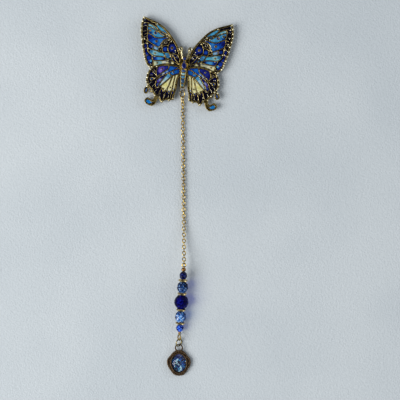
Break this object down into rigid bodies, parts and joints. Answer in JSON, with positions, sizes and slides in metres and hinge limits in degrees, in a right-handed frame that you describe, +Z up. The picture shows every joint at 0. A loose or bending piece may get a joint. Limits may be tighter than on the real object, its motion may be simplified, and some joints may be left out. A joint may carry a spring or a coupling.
{
  "type": "decorative hair pin",
  "caption": "Butterfly hair pin: enamelled wings on a slim spring grip, with a fine link chain, faceted bead drop and an oval charm.",
  "frame": {"origin": "under the middle of the whole piece's bounding box, on the surface that the piece lies on", "axes": "+X across the wings, +Y towards the antennae, +Z up from the surface; the chain runs towards -Y"},
  "size_m": [0.0532, 0.2035, 0.008],
  "materials": {
    "antique_gold": "antique satin",
    "chain_gold": "polished",
    "copper_gold": "polished",
    "pale_brass": "polished",
    "dark_bronze": "antique, dark",
    "grip_metal": "bronze plated",
    "tip_coating": "dipped coating",
    "printed_disc": "printed paper",
    "clear_glass": "polished dome",
    "blue_stone": "polished",
    "enamel_black": "enamel",
    "enamel_navy": "enamel",
    "enamel_cobalt": "enamel",
    "enamel_azure": "enamel",
    "enamel_aqua": "enamel",
    "enamel_cream": "enamel",
    "enamel_violet": "enamel",
    "bead_navy_glass": "faceted",
    "bead_steel_glass": "faceted, metallic coat",
    "bead_cobalt_glass": "faceted",
    "bead_ice_glass": "faceted",
    "bead_sapphire_glass": "faceted"
  },
  "bodies": {
    "butterfly": {"butterfly_casting": "antique_gold", "enamel_black": "enamel_black", "enamel_navy": "enamel_navy", "enamel_cobalt": "enamel_cobalt", "enamel_azure": "enamel_azure", "enamel_aqua": "enamel_aqua", "enamel_cream": "enamel_cream", "enamel_violet": "enamel_violet", "body_stones": "blue_stone", "grip_pad": "antique_gold", "grip_upper_leg": "grip_metal", "grip_upper_tip": "tip_coating"},
    "grip_lower": {"grip_lower_leg": "grip_metal", "grip_lower_tip": "tip_coating"},
    "tail_ring": {"tail_ring": "chain_gold"},
    "chain_01": {"chain_01": "chain_gold"},
    "chain_02": {"chain_02": "chain_gold"},
    "chain_03": {"chain_03": "chain_gold"},
    "chain_04": {"chain_04": "chain_gold"},
    "chain_05": {"chain_05": "chain_gold"},
    "chain_06": {"chain_06": "chain_gold"},
    "chain_07": {"chain_07": "chain_gold"},
    "chain_08": {"chain_08": "chain_gold"},
    "chain_09": {"chain_09": "chain_gold"},
    "chain_10": {"chain_10": "chain_gold"},
    "chain_11": {"chain_11": "chain_gold"},
    "chain_12": {"chain_12": "chain_gold"},
    "chain_13": {"chain_13": "chain_gold"},
    "chain_14": {"chain_14": "chain_gold"},
    "chain_15": {"chain_15": "chain_gold"},
    "chain_16": {"chain_16": "chain_gold"},
    "chain_17": {"chain_17": "chain_gold"},
    "chain_18": {"chain_18": "chain_gold"},
    "chain_19": {"chain_19": "chain_gold"},
    "chain_20": {"chain_20": "chain_gold"},
    "chain_21": {"chain_21": "chain_gold"},
    "chain_22": {"chain_22": "chain_gold"},
    "chain_23": {"chain_23": "chain_gold"},
    "chain_24": {"chain_24": "chain_gold"},
    "chain_25": {"chain_25": "chain_gold"},
    "chain_26": {"chain_26": "chain_gold"},
    "chain_27": {"chain_27": "chain_gold"},
    "eye_pin": {"eye_pin": "chain_gold", "crimp": "chain_gold"},
    "ball_cap": {"ball_cap": "copper_gold"},
    "bead_navy": {"bead_navy": "bead_navy_glass"},
    "spacer_1": {"spacer_1": "antique_gold"},
    "bead_steel": {"bead_steel": "bead_steel_glass"},
    "spacer_2": {"spacer_2": "antique_gold"},
    "bead_cobalt": {"bead_cobalt": "bead_cobalt_glass"},
    "spacer_3": {"spacer_3": "antique_gold"},
    "bead_ice": {"bead_ice": "bead_ice_glass"},
    "spacer_4": {"spacer_4": "antique_gold"},
    "bead_sapphire": {"bead_sapphire": "bead_sapphire_glass"},
    "charm_ring": {"charm_ring": "pale_brass"},
    "charm": {"charm_bezel": "dark_bronze", "charm_print": "printed_disc", "charm_cabochon": "clear_glass"}
  },
  "joints": [
    {"name": "grip_flex", "type": "hinge", "parent": "butterfly", "child": "grip_lower", "pos_m": [-0.0201, 0.07765, 0.00025], "axis": [0, 1, 0], "range_deg": [0, 12]},
    {"name": "tail_ring_swing", "type": "hinge", "parent": "butterfly", "child": "tail_ring", "pos_m": [0, 0.06025, 0.0023], "axis": [-1, 0, 0], "range_deg": [-12, 35]},
    {"name": "pin_swing", "type": "hinge", "parent": "chain_27", "child": "eye_pin", "pos_m": [0.0103, -0.03753, 0.00577], "axis": [-0.0263, 0.2613, 0.9649], "range_deg": [-30, 30]},
    {"name": "charm_ring_swing", "type": "hinge", "parent": "eye_pin", "child": "charm_ring", "pos_m": [0.01132, -0.08118, 0.0025], "axis": [0.4708, -0.0501, 0.8808], "range_deg": [-25, 25]},
    {"name": "charm_swing", "type": "hinge", "parent": "charm_ring", "child": "charm", "pos_m": [0.01145, -0.08365, 0.0017], "axis": [-0.9962, -0.0872, 0], "range_deg": [-10, 42]},
    {"name": "ball_cap_spin", "type": "hinge", "parent": "eye_pin", "child": "ball_cap", "pos_m": [0.01033, -0.0405, 0.00535], "axis": [0.0244, -0.9973, -0.0698], "continuous": true},
    {"name": "bead_navy_spin", "type": "hinge", "parent": "eye_pin", "child": "bead_navy", "pos_m": [0.01041, -0.04394, 0.00511], "axis": [0.0244, -0.9973, -0.0698], "continuous": true},
    {"name": "spacer_1_spin", "type": "hinge", "parent": "eye_pin", "child": "spacer_1", "pos_m": [0.01048, -0.04683, 0.0049], "axis": [0.0244, -0.9973, -0.0698], "continuous": true},
    {"name": "bead_steel_spin", "type": "hinge", "parent": "eye_pin", "child": "bead_steel", "pos_m": [0.01058, -0.05067, 0.00464], "axis": [0.0244, -0.9973, -0.0698], "continuous": true},
    {"name": "spacer_2_spin", "type": "hinge", "parent": "eye_pin", "child": "spacer_2", "pos_m": [0.01067, -0.05451, 0.00437], "axis": [0.0244, -0.9973, -0.0698], "continuous": true},
    {"name": "bead_cobalt_spin", "type": "hinge", "parent": "eye_pin", "child": "bead_cobalt", "pos_m": [0.01078, -0.05915, 0.00404], "axis": [0.0244, -0.9973, -0.0698], "continuous": true},
    {"name": "spacer_3_spin", "type": "hinge", "parent": "eye_pin", "child": "spacer_3", "pos_m": [0.0109, -0.06378, 0.00372], "axis": [0.0244, -0.9973, -0.0698], "continuous": true},
    {"name": "bead_ice_spin", "type": "hinge", "parent": "eye_pin", "child": "bead_ice", "pos_m": [0.01099, -0.06762, 0.00345], "axis": [0.0244, -0.9973, -0.0698], "continuous": true},
    {"name": "spacer_4_spin", "type": "hinge", "parent": "eye_pin", "child": "spacer_4", "pos_m": [0.01109, -0.07146, 0.00318], "axis": [0.0244, -0.9973, -0.0698], "continuous": true},
    {"name": "bead_sapphire_spin", "type": "hinge", "parent": "eye_pin", "child": "bead_sapphire", "pos_m": [0.01115, -0.07415, 0.00299], "axis": [0.0244, -0.9973, -0.0698], "continuous": true},
    {"name": "chain_01_swing", "type": "hinge", "parent": "tail_ring", "child": "chain_01", "pos_m": [0.00078, 0.0575, 0.00211], "axis": [0.6928, 0.0712, 0.7176], "range_deg": [-25, 25]},
    {"name": "chain_02_swing", "type": "hinge", "parent": "chain_01", "child": "chain_02", "pos_m": [0.00107, 0.05414, 0.00136], "axis": [0.5556, -0.0813, 0.8275], "range_deg": [-30, 30]},
    {"name": "chain_03_swing", "type": "hinge", "parent": "chain_02", "child": "chain_03", "pos_m": [0.00137, 0.05118, 0.00113], "axis": [0.995, 0.1002, 0], "range_deg": [-30, 30]},
    {"name": "chain_04_swing", "type": "hinge", "parent": "chain_03", "child": "chain_04", "pos_m": [0.00178, 0.04708, 0.00112], "axis": [0, 0, -1], "range_deg": [-30, 30]},
    {"name": "chain_05_swing", "type": "hinge", "parent": "chain_04", "child": "chain_05", "pos_m": [0.00209, 0.0441, 0.00112], "axis": [-0.995, -0.1002, 0], "range_deg": [-30, 30]},
    {"name": "chain_06_swing", "type": "hinge", "parent": "chain_05", "child": "chain_06", "pos_m": [0.0025, 0.04, 0.00112], "axis": [0, 0, 1], "range_deg": [-30, 30]},
    {"name": "chain_07_swing", "type": "hinge", "parent": "chain_06", "child": "chain_07", "pos_m": [0.0028, 0.03701, 0.00112], "axis": [0.995, 0.1002, 0], "range_deg": [-30, 30]},
    {"name": "chain_08_swing", "type": "hinge", "parent": "chain_07", "child": "chain_08", "pos_m": [0.00321, 0.03291, 0.00112], "axis": [0, 0, -1], "range_deg": [-30, 30]},
    {"name": "chain_09_swing", "type": "hinge", "parent": "chain_08", "child": "chain_09", "pos_m": [0.00351, 0.02993, 0.00112], "axis": [-0.995, -0.1002, 0], "range_deg": [-30, 30]},
    {"name": "chain_10_swing", "type": "hinge", "parent": "chain_09", "child": "chain_10", "pos_m": [0.00392, 0.02583, 0.00112], "axis": [0, 0, 1], "range_deg": [-30, 30]},
    {"name": "chain_11_swing", "type": "hinge", "parent": "chain_10", "child": "chain_11", "pos_m": [0.00422, 0.02284, 0.00112], "axis": [0.995, 0.1002, 0], "range_deg": [-30, 30]},
    {"name": "chain_12_swing", "type": "hinge", "parent": "chain_11", "child": "chain_12", "pos_m": [0.00464, 0.01875, 0.00112], "axis": [0, 0, -1], "range_deg": [-30, 30]},
    {"name": "chain_13_swing", "type": "hinge", "parent": "chain_12", "child": "chain_13", "pos_m": [0.00494, 0.01576, 0.00112], "axis": [-0.995, -0.1002, 0], "range_deg": [-30, 30]},
    {"name": "chain_14_swing", "type": "hinge", "parent": "chain_13", "child": "chain_14", "pos_m": [0.00535, 0.01166, 0.00112], "axis": [0, 0, 1], "range_deg": [-30, 30]},
    {"name": "chain_15_swing", "type": "hinge", "parent": "chain_14", "child": "chain_15", "pos_m": [0.00565, 0.00868, 0.00112], "axis": [0.995, 0.1002, 0], "range_deg": [-30, 30]},
    {"name": "chain_16_swing", "type": "hinge", "parent": "chain_15", "child": "chain_16", "pos_m": [0.00606, 0.00458, 0.00112], "axis": [0, 0, -1], "range_deg": [-30, 30]},
    {"name": "chain_17_swing", "type": "hinge", "parent": "chain_16", "child": "chain_17", "pos_m": [0.00636, 0.00159, 0.00112], "axis": [-0.995, -0.1002, 0], "range_deg": [-30, 30]},
    {"name": "chain_18_swing", "type": "hinge", "parent": "chain_17", "child": "chain_18", "pos_m": [0.00678, -0.00251, 0.00112], "axis": [0, 0, 1], "range_deg": [-30, 30]},
    {"name": "chain_19_swing", "type": "hinge", "parent": "chain_18", "child": "chain_19", "pos_m": [0.00708, -0.00549, 0.00112], "axis": [0.995, 0.1002, 0], "range_deg": [-30, 30]},
    {"name": "chain_20_swing", "type": "hinge", "parent": "chain_19", "child": "chain_20", "pos_m": [0.00749, -0.00959, 0.00122], "axis": [0.0032, -0.0321, -0.9995], "range_deg": [-30, 30]},
    {"name": "chain_21_swing", "type": "hinge", "parent": "chain_20", "child": "chain_21", "pos_m": [0.00779, -0.01257, 0.00138], "axis": [-0.995, -0.1002, 0], "range_deg": [-30, 30]},
    {"name": "chain_22_swing", "type": "hinge", "parent": "chain_21", "child": "chain_22", "pos_m": [0.0082, -0.01666, 0.00173], "axis": [-0.0093, 0.0921, 0.9957], "range_deg": [-30, 30]},
    {"name": "chain_23_swing", "type": "hinge", "parent": "chain_22", "child": "chain_23", "pos_m": [0.0085, -0.01963, 0.00208], "axis": [0.995, 0.1002, 0], "range_deg": [-30, 30]},
    {"name": "chain_24_swing", "type": "hinge", "parent": "chain_23", "child": "chain_24", "pos_m": [0.00891, -0.02369, 0.00267], "axis": [0.0152, -0.1507, -0.9885], "range_deg": [-30, 30]},
    {"name": "chain_25_swing", "type": "hinge", "parent": "chain_24", "child": "chain_25", "pos_m": [0.00921, -0.02663, 0.00319], "axis": [-0.995, -0.1002, 0], "range_deg": [-30, 30]},
    {"name": "chain_26_swing", "type": "hinge", "parent": "chain_25", "child": "chain_26", "pos_m": [0.00961, -0.03065, 0.00402], "axis": [-0.0209, 0.2074, 0.978], "range_deg": [-30, 30]},
    {"name": "chain_27_swing", "type": "hinge", "parent": "chain_26", "child": "chain_27", "pos_m": [0.00991, -0.03356, 0.00471], "axis": [0.995, 0.1002, 0], "range_deg": [-30, 30]}
  ]
}
